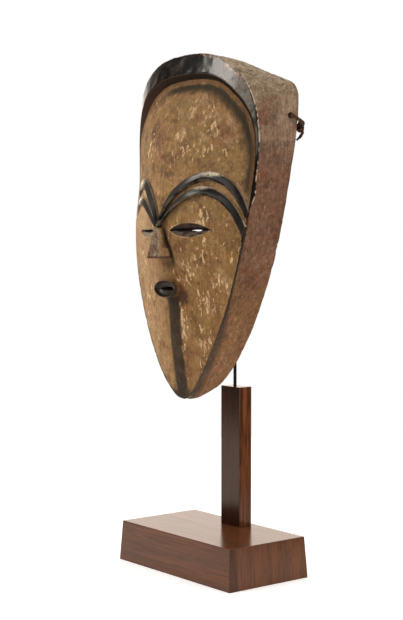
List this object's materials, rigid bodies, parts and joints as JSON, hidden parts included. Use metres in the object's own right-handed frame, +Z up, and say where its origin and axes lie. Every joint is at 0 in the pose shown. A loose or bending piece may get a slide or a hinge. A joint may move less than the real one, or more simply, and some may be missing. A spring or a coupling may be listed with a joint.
{
  "type": "carved wooden mask on a stand",
  "caption": "Carved wooden face mask with a tall forehead, arched brows and a hollow back, held by a thin rod on a square post and a tapered wooden base.",
  "frame": {"origin": "middle of the base's underside, on the table", "axes": "+Z up; the mask faces -Y; +X is the long side of the base, to the left of the mask seen from its own back"},
  "size_m": [0.2323, 0.1314, 0.5498],
  "materials": {
    "carved_wood": "worn ochre paint with pale flecks on the face, rubbed black on hairline and brows, bare brown sides",
    "leather": "dry, frayed, dark brown",
    "blackened_steel": "blackened, low sheen",
    "polished_hardwood": "polished reddish-brown hardwood, clear glossy finish"
  },
  "bodies": {
    "root": {"mask": "carved_wood", "thong": "leather", "rod": "blackened_steel", "column": "polished_hardwood", "base": "polished_hardwood"}
  },
  "joints": []
}
